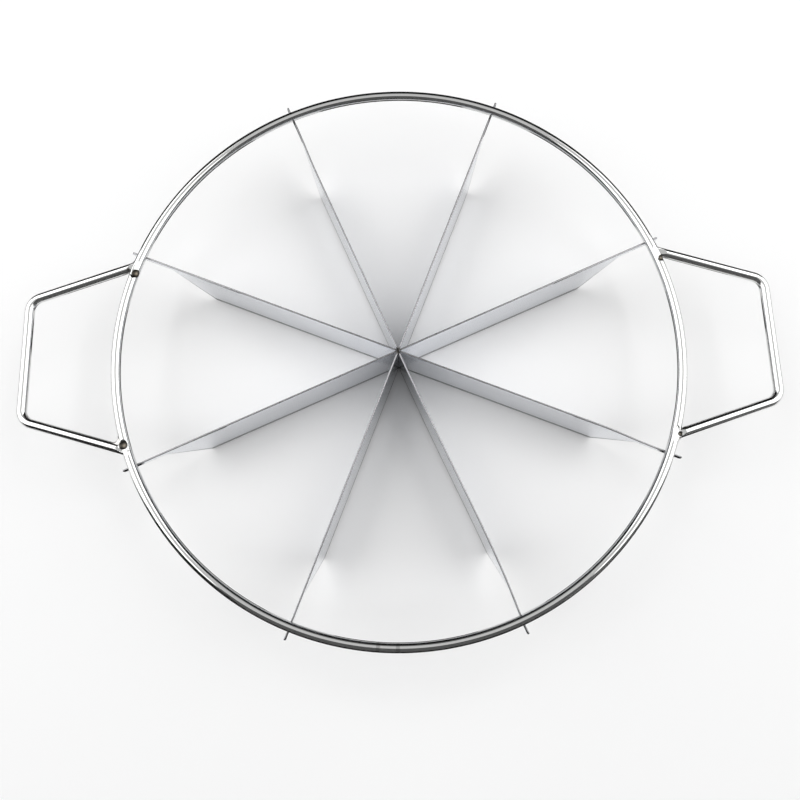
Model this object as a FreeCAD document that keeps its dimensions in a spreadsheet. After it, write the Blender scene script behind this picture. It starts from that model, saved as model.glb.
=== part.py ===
"""Cake portion marker: a wire ring with two bent-wire handles and four crossed blade strips.

The origin is at the middle of the floor contact: the blades' bottom edges lie at height zero, the hub
stands on the vertical axis, and the two handles point along X. All lengths are in millimetres.
"""
import FreeCAD, Part
import os

import Sketcher

# How many strips cross at the hub; each one gives two blades
STRIP_COUNT = 4

# Driving sizes: alias, value, what it is
SIZES = [
    ("ring_outer_diameter", 270.0, "outside of the wire ring"),
    ("wire_diameter", 4.4, "wire of the ring and of both handles"),
    ("blade_height", 34.0, "full height of a blade strip"),
    ("blade_thickness", 0.8, "sheet of the blade strips"),
    ("tongue_height", 3.4, "narrow end of a strip, under the ring"),
    ("tongue_run", 12.4, "from the ring wire's inner side to the top of the slant"),
    ("tongue_corner_radius", 0.8, "rounding of a tongue's two corners"),
    ("strip_1_right_overhang", 4.5, "how far the right-hand tongue stands out past the ring"),
    ("strip_1_left_overhang", 4.2, "how far the left-hand tongue stands out past the ring"),
    ("strip_2_right_overhang", 3.5, "how far the right-hand tongue stands out past the ring"),
    ("strip_2_left_overhang", 3.4, "how far the left-hand tongue stands out past the ring"),
    ("strip_3_right_overhang", 4.3, "how far the right-hand tongue stands out past the ring"),
    ("strip_3_left_overhang", 4.0, "how far the left-hand tongue stands out past the ring"),
    ("strip_4_right_overhang", 4.6, "how far the right-hand tongue stands out past the ring"),
    ("strip_4_left_overhang", 4.9, "how far the left-hand tongue stands out past the ring"),
    ("slant_run", 15.0, "how far the slant reaches along the strip"),
    ("slot_clearance", 0.1, "play on each side of a crossing strip"),
    ("weld_sink", 0.4, "how deep the ring wire sits in a tongue"),
    ("handle_reach", 42.6, "from the ring's outside to the outer side of the grip"),
    ("back_joint_angle", 20.0, "degrees along the ring from a handle's middle to its back arm"),
    ("front_joint_angle", 19.4, "degrees along the ring from a handle's middle to its front arm"),
    ("back_arm_slope", 17.8, "degrees by which a back arm leans towards the front one"),
    ("front_arm_slope", 17.0, "degrees by which a front arm leans towards the back one"),
    ("bend_radius", 7.0, "centre line of the bends between arms and grip"),
    ("press_depth", 0.6, "how deep each electrode sank into the wires at a joint"),
    ("electrode_radius", 14.0, "rounded face of the electrode that pressed the joint"),
    ("wide_web_radius", 5.0, "hollow edge of a web in the wide corner between arm and ring"),
    ("narrow_web_radius", 2.0, "hollow edge of a web in the narrow corner between arm and ring"),
    ("web_edge", 0.15, "metal left at the thin ends of a web"),
    ("pit_depth", 0.7, "depth of a joint's small pit below the pressed side"),
    ("left_back_pit_diameter", 4.0, "mouth of the pit"),
    ("left_back_pit_angle", 18.2, "degrees along the ring from the handle's middle to the pit"),
    ("left_back_pit_shift", -1.2, "middle of the pit, outwards from the ring's centre line"),
    ("left_front_pit_diameter", 3.9, "mouth of the pit"),
    ("left_front_pit_angle", 18.2, "degrees along the ring from the handle's middle to the pit"),
    ("left_front_pit_shift", 0.5, "middle of the pit, outwards from the ring's centre line"),
    ("right_back_pit_diameter", 2.9, "mouth of the pit"),
    ("right_back_pit_angle", 17.9, "degrees along the ring from the handle's middle to the pit"),
    ("right_back_pit_shift", 1.2, "middle of the pit, outwards from the ring's centre line"),
    ("right_front_pit_diameter", 2.0, "mouth of the pit"),
    ("right_front_pit_angle", 19.0, "degrees along the ring from the handle's middle to the pit"),
    ("right_front_pit_shift", 1.8, "middle of the pit, outwards from the ring's centre line"),
]

# Places that follow from the driving sizes, as expressions
WIRE_RADIUS = "(sizes.wire_diameter / 2)"
RING_RADIUS = "((sizes.ring_outer_diameter - sizes.wire_diameter) / 2)"
RING_LEVEL = f"(sizes.blade_height - sizes.weld_sink + {WIRE_RADIUS})"
RING_INSIDE = "(sizes.ring_outer_diameter / 2 - sizes.wire_diameter)"
SLANT_TOP = f"({RING_INSIDE} - sizes.tongue_run)"
SLANT_FOOT = f"({RING_INSIDE} - sizes.tongue_run - sizes.slant_run)"
TONGUE_LEVEL = "(sizes.blade_height - sizes.tongue_height)"
GRIP_DISTANCE = f"(sizes.ring_outer_diameter / 2 + sizes.handle_reach - {WIRE_RADIUS})"
CORNER_RADIUS = "min(sizes.tongue_corner_radius; sizes.tongue_height / 3)"
PRESSED_HALF = f"({WIRE_RADIUS} - sizes.press_depth)"

# The angle between neighbouring strips, and the slot that clears every crossing strip
STRIP_PITCH = 180 / STRIP_COUNT
SLOT_WIDTH = f"(sizes.blade_thickness / tan({STRIP_PITCH / 2} deg) + 2 * sizes.slot_clearance)"

# The handles: name and turn about the vertical axis in degrees
HANDLES = {"right": 0, "left": 180}
# A handle's arms: name of the side and its direction across the handle, for each handle
ARMS = {"right": {"back": 1, "front": -1}, "left": {"back": -1, "front": 1}}
# The corner that a joint's web fills: 1 the wide one away from the handle, -1 the narrow one
WEB_CORNERS = {"left_back": 1, "left_front": -1, "right_back": 1, "right_front": 1}

UP = FreeCAD.Vector(0, 0, 1)
# Lays a ball on its side, so that its poles and its seam stay clear of the face that it presses
ON_ITS_SIDE = FreeCAD.Rotation(FreeCAD.Vector(1, 0, 0), 90)
# How constraints name a sketch's root point and axes, and the points of a line or arc
ROOT_POINT = (-1, 1)
X_LINE = -1
START, END, CENTRE = 1, 2, 3
# Two places nearer than this count as one
SAME_PLACE = 1e-6

document = FreeCAD.newDocument("cake_portion_marker")
sheet = document.addObject("Spreadsheet::Sheet", "sizes")
for row, (alias, size, meaning) in enumerate(SIZES, start=1):
    sheet.set(f"A{row}", str(size))
    sheet.setAlias(f"A{row}", alias)
    sheet.set(f"B{row}", meaning)
document.recompute()


def measure(expression):
    """Return the number that an expression gives with the sheet's present sizes."""
    result = sheet.evalExpression(expression)
    return float(getattr(result, "Value", result))


# Bodies and sketches

def new_body(name):
    """Add an empty body."""
    return document.addObject("PartDesign::Body", name)


def origin_feature(body, role):
    """Return one of a body's own origin planes or axes, such as XY_Plane."""
    return next(feature for feature in body.Origin.OriginFeatures if feature.Role == role)


def new_sketch(body, name, role):
    """Add an empty sketch on one of the body's origin planes."""
    sketch = body.newObject("Sketcher::SketchObject", name)
    sketch.AttachmentSupport = [(origin_feature(body, role), "")]
    sketch.MapMode = "FlatFace"
    return sketch


def hold(sketch, kind, places, expression):
    """Add one measured constraint to a sketch and bind it to the sheet."""
    index = sketch.addConstraint(Sketcher.Constraint(kind, *places, measure(expression)))
    sketch.setExpression(f"Constraints[{index}]", expression)


def hold_from_root(sketch, kind, sign, number, point, expression):
    """Bind a point's distance from the sketch's root; the sign tells on which side it lies."""
    # Such a distance is measured from the lower point to the higher one
    places = (*ROOT_POINT, number, point) if sign > 0 else (number, point, *ROOT_POINT)
    hold(sketch, kind, places, expression)


def tie(sketch, kind, *places):
    """Add one constraint without a measure to a sketch."""
    sketch.addConstraint(Sketcher.Constraint(kind, *places))


def draw_circle(sketch, across, height, radius):
    """Draw a circle whose centre and size are bound to the sheet."""
    middle = FreeCAD.Vector(measure(across), measure(height), 0)
    number = sketch.addGeometry(Part.Circle(middle, UP, measure(radius)))
    hold_from_root(sketch, "DistanceX", 1, number, CENTRE, across)
    hold_from_root(sketch, "DistanceY", 1, number, CENTRE, height)
    hold(sketch, "Radius", (number,), radius)


def draw_polygon(sketch, corners):
    """Draw a closed outline; each corner is a pair of expressions, signs first: (sign, across, height)."""
    points = [FreeCAD.Vector(sign * measure(across), measure(height), 0) for sign, across, height in corners]
    for start, end in zip(points, points[1:] + points[:1]):
        sketch.addGeometry(Part.LineSegment(start, end))
    count = len(corners)
    for number in range(count):
        tie(sketch, "Coincident", number, END, (number + 1) % count, START)
    for number, (sign, across, height) in enumerate(corners):
        hold_from_root(sketch, "DistanceX", sign, number, START, across)
        if measure(height) == 0:
            tie(sketch, "PointOnObject", number, START, X_LINE)
        else:
            hold_from_root(sketch, "DistanceY", 1, number, START, height)


def two_sided_outline(right_side, left_side):
    """Complete an outline from its right-hand and left-hand corners, both listed from the top downwards."""
    return [(1, *corner) for corner in right_side] + [(-1, *corner) for corner in reversed(left_side)]


def cut_from(base, tools, name):
    """Return an object that is the base without the tools, taken away one after another."""
    result = base
    for number, tool in enumerate(tools, start=1):
        is_last = number == len(tools)
        step = document.addObject("Part::Cut", name if is_last else f"{name}_cut_{number}")
        step.Base = result
        step.Tool = tool
        result = step
    document.recompute()
    assert 0 < result.Shape.Volume < base.Shape.Volume, f"{name}: nothing was cut"
    return result


# Wire ring

def make_ring_wire():
    """The closed ring of round wire, before its handle joints are pressed."""
    body = new_body("ring_wire")
    section = new_sketch(body, "ring_section", "XZ_Plane")
    draw_circle(section, RING_RADIUS, RING_LEVEL, WIRE_RADIUS)
    turn = body.newObject("PartDesign::Revolution", "ring_turn")
    turn.Profile = section
    turn.ReferenceAxis = (origin_feature(body, "Z_Axis"), [""])
    turn.Angle = 360
    document.recompute()
    return body


# Handles

def sweep_half(body, section, name, side, direction):
    """Sweep half a grip, a bend and an arm; the direction tells on which side of the middle."""
    path = new_sketch(body, f"{name}_{side}_path", "XY_Plane")
    path.setExpression("AttachmentOffset.Base.z", RING_LEVEL)
    slope = f"(sizes.{side}_arm_slope * 1 deg)"
    angle = f"(sizes.{side}_joint_angle * 1 deg)"
    joint_x = f"{RING_RADIUS} * cos({angle})"
    joint_y = f"{RING_RADIUS} * sin({angle})"

    # Where the path's points start out before the constraints hold them
    grip_x = measure(GRIP_DISTANCE)
    bend = measure("sizes.bend_radius")
    corner_y = measure(f"{joint_y} - ({GRIP_DISTANCE} - {joint_x}) * tan({slope})")
    trim = measure(f"sizes.bend_radius * tan(45 deg - {slope} / 2)")
    bend_y = direction * (corner_y - trim)
    arm_x = grip_x - trim * measure(f"cos({slope})")
    arm_y = direction * (corner_y + trim * measure(f"sin({slope})"))
    grip_end = FreeCAD.Vector(grip_x, bend_y, 0)
    arm_start = FreeCAD.Vector(arm_x, arm_y, 0)
    bend_centre = FreeCAD.Vector(grip_x - bend, bend_y, 0)
    joint = FreeCAD.Vector(measure(joint_x), direction * measure(joint_y), 0)
    outwards = grip_end + arm_start - bend_centre * 2
    bend_middle = bend_centre + outwards.normalize() * bend

    grip_line = path.addGeometry(Part.LineSegment(FreeCAD.Vector(grip_x, 0, 0), grip_end))
    bend_arc = path.addGeometry(Part.Arc(grip_end, bend_middle, arm_start))
    arm_line = path.addGeometry(Part.LineSegment(arm_start, joint))
    arc_first, arc_last = (START, END) if direction > 0 else (END, START)
    tie(path, "Vertical", grip_line)
    tie(path, "PointOnObject", grip_line, START, X_LINE)
    tie(path, "Tangent", grip_line, END, bend_arc, arc_first)
    tie(path, "Tangent", bend_arc, arc_last, arm_line, START)
    hold_from_root(path, "DistanceX", 1, grip_line, START, GRIP_DISTANCE)
    hold(path, "Radius", (bend_arc,), "sizes.bend_radius")
    hold_from_root(path, "DistanceX", 1, arm_line, END, joint_x)
    hold_from_root(path, "DistanceY", direction, arm_line, END, joint_y)
    hold(path, "Angle", (arm_line,), f"{direction} * (180 deg - {slope})")

    sweep = body.newObject("PartDesign::AdditivePipe", f"{name}_{side}_half")
    sweep.Profile = section
    sweep.Spine = (path, ["Edge1", "Edge2", "Edge3"])
    body.Tip = sweep
    document.recompute()


def make_handle_wire(name):
    """One handle as bent, swept from the middle of its grip towards either arm."""
    body = new_body(f"{name}_handle_wire")
    section = new_sketch(body, f"{name}_grip_section", "XZ_Plane")
    draw_circle(section, GRIP_DISTANCE, RING_LEVEL, WIRE_RADIUS)
    for side, direction in ARMS[name].items():
        sweep_half(body, section, name, side, direction)
    body.Placement = FreeCAD.Placement(FreeCAD.Vector(), FreeCAD.Rotation(UP, HANDLES[name]))
    document.recompute()
    return body


# Welded joints between handles and ring

def place_on_ring(solid, angle, outwards, level):
    """Bind a primitive's place to the ring: an angle, a distance outwards and a height."""
    distance = f"({RING_RADIUS} + {outwards})"
    solid.setExpression("Placement.Base.x", f"{distance} * cos({angle})")
    solid.setExpression("Placement.Base.y", f"{distance} * sin({angle})")
    solid.setExpression("Placement.Base.z", level)


def make_ball(name, radius, angle, outwards, level):
    """Add a ball that leaves a dished face where it is taken away."""
    ball = document.addObject("Part::Sphere", name)
    ball.setExpression("Radius", radius)
    ball.Placement = FreeCAD.Placement(FreeCAD.Vector(), ON_ITS_SIDE)
    place_on_ring(ball, angle, outwards, level)
    return ball


def make_joint_tools(handle, side, direction):
    """The two electrode faces and the pit that are pressed into one joint."""
    joint = f"{handle}_{side}"
    # The electrodes pressed halfway between the pit and the arm's end
    pit_angle = f"({HANDLES[handle]} + {direction} * sizes.{joint}_pit_angle) * 1 deg"
    middle = f"(sizes.{side}_joint_angle + sizes.{joint}_pit_angle) / 2"
    press_angle = f"({HANDLES[handle]} + {direction} * {middle}) * 1 deg"
    pit_shift = f"sizes.{joint}_pit_shift"
    lift = f"({PRESSED_HALF} + sizes.electrode_radius)"
    pit_ball = f"(((sizes.{joint}_pit_diameter / 2)^2 + sizes.pit_depth^2) / (2 * sizes.pit_depth))"
    above = make_ball(f"{joint}_upper_electrode", "sizes.electrode_radius", press_angle,
                      f"{pit_shift} / 2", f"{RING_LEVEL} + {lift}")
    below = make_ball(f"{joint}_lower_electrode", "sizes.electrode_radius", press_angle,
                      f"{pit_shift} / 2", f"{RING_LEVEL} - {lift}")
    pit = make_ball(f"{joint}_pit", pit_ball, pit_angle, pit_shift,
                    f"{RING_LEVEL} + {PRESSED_HALF} - sizes.pit_depth + {pit_ball}")
    return [above, below, pit]


def make_web(handle, side, direction, wires, pit):
    """The web of squeezed-out metal in one corner between an arm and the ring."""
    joint = f"{handle}_{side}"
    corner = WEB_CORNERS[joint]
    hollow = "sizes.wide_web_radius" if corner > 0 else "sizes.narrow_web_radius"
    ring_angle = f"({HANDLES[handle]} + {direction} * sizes.{side}_joint_angle)"
    # The corner opens from the ring's direction to the arm's, both in degrees
    along_ring = f"({ring_angle} + {direction * corner * 90})"
    along_arm = f"({HANDLES[handle]} - {direction} * sizes.{side}_arm_slope)"
    opening = f"(90 + {corner} * (sizes.{side}_joint_angle + sizes.{side}_arm_slope))"
    half_opening = f"({opening} / 2 * 1 deg)"
    bisector = f"(({along_ring} + {along_arm}) / 2 * 1 deg)"
    first_side = along_arm if direction * corner > 0 else along_ring
    foot = f"(({WIRE_RADIUS} + {hollow}) / tan({half_opening}))"
    bottom = f"{RING_LEVEL} - {PRESSED_HALF}"

    sector = document.addObject("Part::Cylinder", f"{joint}_web_sector")
    sector.setExpression("Radius", f"sqrt({foot}^2 + {WIRE_RADIUS}^2)")
    sector.setExpression("Height", f"2 * {PRESSED_HALF}")
    sector.setExpression("Angle", f"{opening} * 1 deg")
    sector.setExpression("Placement.Rotation.Angle", f"{first_side} * 1 deg")
    place_on_ring(sector, f"({ring_angle} * 1 deg)", "0", bottom)

    edge = document.addObject("Part::Cylinder", f"{joint}_web_hollow")
    edge.setExpression("Radius", hollow)
    edge.setExpression("Height", f"2 * {PRESSED_HALF}")
    distance = f"(({WIRE_RADIUS} + {hollow} + sizes.web_edge) / sin({half_opening}))"
    joint_x = f"{RING_RADIUS} * cos({ring_angle} * 1 deg)"
    joint_y = f"{RING_RADIUS} * sin({ring_angle} * 1 deg)"
    edge.setExpression("Placement.Base.x", f"{joint_x} + {distance} * cos({bisector})")
    edge.setExpression("Placement.Base.y", f"{joint_y} + {distance} * sin({bisector})")
    edge.setExpression("Placement.Base.z", bottom)
    return cut_from(sector, [*wires, edge, pit], f"{joint}_weld")


# Blade strips

def add_slot(body, name, low, high):
    """Cut a slot for the crossing strips at the middle of a strip, between two heights."""
    before = body.Shape.Volume
    sketch = new_sketch(body, f"{name}_outline", "XZ_Plane")
    half = f"{SLOT_WIDTH} / 2"
    side = [(half, high), (half, low)]
    draw_polygon(sketch, two_sided_outline(side, side))
    slot = body.newObject("PartDesign::Pocket", name)
    slot.Profile = sketch
    slot.SideType = "Symmetric"
    slot.setExpression("Length", "2 * sizes.blade_thickness")
    body.Tip = slot
    document.recompute()
    assert body.Shape.Volume < before, f"{name} cut nothing"


def tip_radius(order, side):
    """From the hub to the end of a strip's right or left tongue."""
    return f"(sizes.ring_outer_diameter / 2 + sizes.strip_{order + 1}_{side}_overhang)"


def blade_side(tip):
    """The corners of one half of a strip's outline, from the top downwards."""
    return [
        (tip, "sizes.blade_height"),
        (tip, TONGUE_LEVEL),
        (SLANT_TOP, TONGUE_LEVEL),
        (SLANT_FOOT, "0"),
    ]


def make_strip_blank(order):
    """One strip across the whole ring, slotted at the middle; order 0 keeps the topmost web."""
    name = f"blade_strip_{order + 1}"
    body = new_body(f"{name}_blank")
    outline = new_sketch(body, f"{name}_outline", "XZ_Plane")
    right_tip, left_tip = tip_radius(order, "right"), tip_radius(order, "left")
    draw_polygon(outline, two_sided_outline(blade_side(right_tip), blade_side(left_tip)))
    sheet_metal = body.newObject("PartDesign::Pad", f"{name}_sheet")
    sheet_metal.Profile = outline
    sheet_metal.SideType = "Symmetric"
    sheet_metal.setExpression("Length", "sizes.blade_thickness")
    document.recompute()

    # Round the four corners of the two tongues
    ends = (measure(right_tip), -measure(left_tip))
    corners = [
        f"Edge{number}" for number, edge in enumerate(sheet_metal.Shape.Edges, start=1)
        if any(all(abs(vertex.X - end) < SAME_PLACE for vertex in edge.Vertexes) for end in ends)
        and abs(edge.Vertexes[0].Y - edge.Vertexes[1].Y) > SAME_PLACE
    ]
    rounding = body.newObject("PartDesign::Fillet", f"{name}_rounding")
    rounding.Base = (sheet_metal, corners)
    rounding.setExpression("Radius", CORNER_RADIUS)
    body.Tip = rounding
    document.recompute()

    # Below its web a strip straddles the lower strips, above it the upper ones
    web_top = f"sizes.blade_height * {STRIP_COUNT - order} / {STRIP_COUNT}"
    web_bottom = f"sizes.blade_height * {STRIP_COUNT - order - 1} / {STRIP_COUNT}"
    if order > 0:
        add_slot(body, f"{name}_upper_slot", web_top, "sizes.blade_height")
    if order < STRIP_COUNT - 1:
        add_slot(body, f"{name}_lower_slot", "0", web_bottom)
    return body


def make_strip(order, ring_wire):
    """A finished strip: turned to its place, with the saddles in which the ring wire sits."""
    blank = make_strip_blank(order)
    # The topmost web belongs to the strip that runs from the front left to the back right
    turn = STRIP_PITCH * (STRIP_COUNT / 2 - 0.5 - order)
    blank.Placement = FreeCAD.Placement(FreeCAD.Vector(), FreeCAD.Rotation(UP, turn))
    document.recompute()
    return cut_from(blank, [ring_wire], f"blade_strip_{order + 1}")


# Assembly

def build():
    """Make every sub-part and return them by name."""
    ring_wire = make_ring_wire()
    parts = {}
    all_tools = []
    for handle in HANDLES:
        handle_wire = make_handle_wire(handle)
        handle_tools = []
        for side, direction in ARMS[handle].items():
            joint_tools = make_joint_tools(handle, side, direction)
            handle_tools += joint_tools
            web = make_web(handle, side, direction, [ring_wire, handle_wire], joint_tools[-1])
            parts[f"{handle}_{side}_weld"] = web
        # Pressed before the ring is taken away, as the round wires only touch along their tops
        parts[f"{handle}_handle"] = cut_from(handle_wire, [*handle_tools, ring_wire], f"{handle}_handle")
        all_tools += handle_tools
    parts["wire_ring"] = cut_from(ring_wire, all_tools, "wire_ring")
    for order in range(STRIP_COUNT):
        parts[f"blade_strip_{order + 1}"] = make_strip(order, ring_wire)
    document.recompute()
    return parts


def check(parts):
    """Stop if any feature failed or any sub-part's shape is unsound."""
    for thing in document.Objects:
        assert not {"Invalid", "Error"} & set(thing.State), f"{thing.Label} failed: {thing.State}"
    for name, part in parts.items():
        assert not part.Shape.isNull() and part.Shape.isValid(), f"{name} is unsound"
        assert part.Label == name, f"{name} is labelled {part.Label}"


def export(parts):
    """Write one file for each sub-part."""
    os.makedirs("parts", exist_ok=True)
    for name, part in sorted(parts.items()):
        part.Shape.exportStep(f"parts/{name}.step")
        box = part.Shape.BoundBox
        print(f"{name}: {len(part.Shape.Solids)} solid(s), {part.Shape.Volume:.1f} mm3, "
              f"z {box.ZMin:.2f} to {box.ZMax:.2f}, x {box.XMin:.2f} to {box.XMax:.2f}")


parts = build()
check(parts)
export(parts)
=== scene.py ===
"""Looks of the cake portion marker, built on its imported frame.

One rigid piece of stainless steel: a ring of round wire with two bent-wire handles, their four pressed
joints, and four blade strips that cross at the hub. Shapes are worked out in millimetres, as in the CAD
source, and turned into metres where a mesh is made.
"""
import logging
import math
from dataclasses import dataclass
from enum import Enum

import bpy
import numpy as np
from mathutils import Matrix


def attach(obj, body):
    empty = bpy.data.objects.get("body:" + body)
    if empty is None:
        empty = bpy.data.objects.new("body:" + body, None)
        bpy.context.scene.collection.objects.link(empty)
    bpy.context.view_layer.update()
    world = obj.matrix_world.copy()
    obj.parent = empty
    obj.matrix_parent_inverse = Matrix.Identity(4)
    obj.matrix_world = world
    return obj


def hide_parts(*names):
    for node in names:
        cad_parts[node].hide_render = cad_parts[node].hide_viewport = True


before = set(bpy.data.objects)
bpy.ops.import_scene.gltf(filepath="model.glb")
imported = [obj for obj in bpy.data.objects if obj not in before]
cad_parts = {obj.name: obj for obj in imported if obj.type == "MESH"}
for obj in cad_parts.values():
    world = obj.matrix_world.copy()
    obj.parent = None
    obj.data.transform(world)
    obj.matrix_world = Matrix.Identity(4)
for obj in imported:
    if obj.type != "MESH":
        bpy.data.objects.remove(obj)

log = logging.getLogger("cake_portion_marker")

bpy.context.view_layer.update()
MM = 0.001
UP = np.array((0.0, 0.0, 1.0))


class Slot(Enum):
    """The material slots of the frame's record."""

    WIRE = "wire"
    BLADE = "blade"
    WELD = "weld"


class Corner(Enum):
    """The corner between an arm and the ring that a web of squeezed-out metal fills."""

    WIDE = 1
    NARROW = -1


# Sizes

@dataclass(frozen=True)
class Sizes:
    """Lengths of the object in millimetres, the same as in the CAD source."""

    ring_outer_diameter: float = 270.0
    wire_diameter: float = 4.4
    blade_height: float = 34.0
    blade_thickness: float = 0.8
    tongue_height: float = 3.4
    tongue_run: float = 12.4
    tongue_corner_radius: float = 0.8
    slant_run: float = 15.0
    slot_clearance: float = 0.1
    weld_sink: float = 0.4
    handle_reach: float = 42.6
    bend_radius: float = 7.0
    press_depth: float = 0.6
    electrode_radius: float = 14.0
    pit_depth: float = 0.7
    strip_count: int = 4

    @property
    def wire_radius(self) -> float:
        """Half the wire's thickness."""
        return self.wire_diameter / 2

    @property
    def ring_radius(self) -> float:
        """Radius of the ring's centre line."""
        return (self.ring_outer_diameter - self.wire_diameter) / 2

    @property
    def ring_level(self) -> float:
        """Height of the ring's centre line."""
        return self.blade_height - self.weld_sink + self.wire_radius

    @property
    def pressed_half(self) -> float:
        """Half the height that the electrodes left at a joint."""
        return self.wire_radius - self.press_depth

    @property
    def grip_distance(self) -> float:
        """From the middle of the ring to the centre line of a grip."""
        return self.ring_outer_diameter / 2 + self.handle_reach - self.wire_radius

    @property
    def slant_top(self) -> float:
        """From the hub to the top of a strip's slant."""
        return self.ring_outer_diameter / 2 - self.wire_diameter - self.tongue_run

    @property
    def slot_half(self) -> float:
        """Half the width of the slots at the hub."""
        pitch = math.pi / self.strip_count
        return self.blade_thickness / math.tan(pitch / 2) / 2 + self.slot_clearance


SIZES = Sizes()


# Meshes

@dataclass
class Loft:
    """A surface through loops of points that all have the same number of points.

    Args:
        loops: Points in millimetres, by loop, place in the loop and axis.
        along: Length in millimetres at each loop, and once more at the start where the loft is closed.
        around: Length in millimetres at each place in a loop, and once more at its start.
        closed: Whether the last loop is joined to the first; otherwise both ends are capped.
        bands: The material's number at each place in a loop, or nothing where there is only one.
    """

    loops: np.ndarray
    along: np.ndarray
    around: np.ndarray
    closed: bool = False
    bands: np.ndarray | None = None

    def make(self, name: str) -> bpy.types.Object:
        """Make the mesh object.

        Args:
            name: The object's name.

        Returns:
            The object, smooth shaded, with lengths in metres as its texture coordinates.
        """
        count, size = self.loops.shape[:2]
        rows = np.arange(count if self.closed else count - 1)
        places = np.arange(size)
        row, place = (grid.ravel() for grid in np.meshgrid(rows, places, indexing="ij"))
        corners = ((row, place), (row + 1, place), (row + 1, place + 1), (row, place + 1))
        faces = np.stack([(r % count) * size + p % size for r, p in corners], axis=1).tolist()
        lengths = np.stack([np.stack((self.along[r], self.around[p]), axis=1) for r, p in corners], axis=1)
        lengths = lengths.reshape(-1, 2)
        if not self.closed:
            faces.append(list(range(size)))
            faces.append([(count - 1) * size + number for number in reversed(range(size))])
            lengths = np.concatenate((lengths, np.zeros((2 * size, 2))))
        mesh = bpy.data.meshes.new(name)
        mesh.from_pydata((self.loops.reshape(-1, 3) * MM).tolist(), [], faces)
        mesh.shade_smooth()
        mesh.uv_layers.new(name="lengths").data.foreach_set("uv", (lengths * MM).ravel())
        if self.bands is not None:
            caps = () if self.closed else (self.bands.max(),) * 2
            mesh.polygons.foreach_set("material_index", np.concatenate((self.bands[place], caps)).astype(int))
        mesh.validate()
        thing = bpy.data.objects.new(name, mesh)
        bpy.context.scene.collection.objects.link(thing)
        return thing


def steps(start: float, end: float, pitch: float) -> np.ndarray:
    """Spread numbers evenly from start to end, no further apart than the pitch.

    Args:
        start: First number.
        end: Last number.
        pitch: Widest gap.

    Returns:
        The numbers, both ends among them.
    """
    return np.linspace(start, end, max(2, math.ceil(abs(end - start) / pitch) + 1))


def joined(*runs: np.ndarray) -> np.ndarray:
    """Join runs of numbers or points end to end; each run starts where the last one ended.

    Args:
        runs: The runs in order.

    Returns:
        One array without the doubled ends.
    """
    return np.concatenate([runs[0]] + [run[1:] for run in runs[1:]])


def turned(points: np.ndarray, degrees: float) -> np.ndarray:
    """Turn points about the vertical axis.

    Args:
        points: Points, with their axes last.
        degrees: Turn, anticlockwise from above.

    Returns:
        The turned points.
    """
    cos, sin = math.cos(math.radians(degrees)), math.sin(math.radians(degrees))
    result = points.copy()
    result[..., 0] = cos * points[..., 0] - sin * points[..., 1]
    result[..., 1] = sin * points[..., 0] + cos * points[..., 1]
    return result


def heading(degrees: float) -> np.ndarray:
    """Return the level direction at an angle from the X axis."""
    return np.array((math.cos(math.radians(degrees)), math.sin(math.radians(degrees)), 0.0))


# Pressed joints

@dataclass(frozen=True)
class Joint:
    """One pressed joint between a handle's arm and the ring.

    Args:
        name: Handle and side, as in left_back.
        handle_turn: Degrees from the X axis to the handle's middle.
        direction: 1 or -1, on which side of the handle's middle the arm lies, anticlockwise first.
        ring_angle: Degrees along the ring from the handle's middle to the arm's end.
        arm_slope: Degrees by which the arm leans towards the handle's other arm.
        corner: The corner that the web fills.
        hollow: Radius of the web's hollow edge.
        pit_diameter: Mouth of the electrode's pit.
        pit_angle: Degrees along the ring from the handle's middle to the pit.
        pit_shift: Middle of the pit, outwards from the ring's centre line.
        scorch: How dark the metal in the pit is, from 0 to 1.
    """

    name: str
    handle_turn: float
    direction: int
    ring_angle: float
    arm_slope: float
    corner: Corner
    hollow: float
    pit_diameter: float
    pit_angle: float
    pit_shift: float
    scorch: float

    def place(self, angle: float, outwards: float = 0.0) -> np.ndarray:
        """Return a point at the ring's level, at an angle from the handle's middle."""
        distance = SIZES.ring_radius + outwards
        return heading(self.handle_turn + self.direction * angle) * distance + UP * SIZES.ring_level

    @property
    def end(self) -> np.ndarray:
        """Where the arm's centre line meets the ring's."""
        return self.place(self.ring_angle)

    @property
    def pit_middle(self) -> np.ndarray:
        """The deepest point of the pit."""
        depth = SIZES.pressed_half - SIZES.pit_depth
        return self.place(self.pit_angle, self.pit_shift) + UP * depth

    @property
    def pit_ball(self) -> float:
        """Radius of the ball that the pit is a cap of."""
        return ((self.pit_diameter / 2) ** 2 + SIZES.pit_depth**2) / (2 * SIZES.pit_depth)

    def press(self, points: np.ndarray, sink: float = 0.0) -> np.ndarray:
        """Squeeze points between the two electrodes and into the pit.

        Args:
            points: Points, with their axes last.
            sink: How far the pressed faces lie below the electrodes', to stay hidden under another wire.

        Returns:
            The points, moved up or down only.
        """
        result = points.copy()
        middle = self.place((self.ring_angle + self.pit_angle) / 2, self.pit_shift / 2)
        radius = SIZES.electrode_radius
        away = np.hypot(points[..., 0] - middle[0], points[..., 1] - middle[1])
        dish = np.sqrt(np.maximum(radius**2 - away**2, 0))
        roof = np.where(away < radius, SIZES.pressed_half + radius - dish, np.inf)
        ball = self.pit_ball
        away = np.hypot(points[..., 0] - self.pit_middle[0], points[..., 1] - self.pit_middle[1])
        dish = np.sqrt(np.maximum(ball**2 - away**2, 0))
        pit = np.where(away < ball, SIZES.pressed_half - SIZES.pit_depth + ball - dish, np.inf)
        lift = points[..., 2] - SIZES.ring_level
        lift = np.minimum(lift, np.minimum(roof, pit) - sink)
        lift = np.maximum(lift, sink - roof)
        result[..., 2] = SIZES.ring_level + lift
        return result


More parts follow.
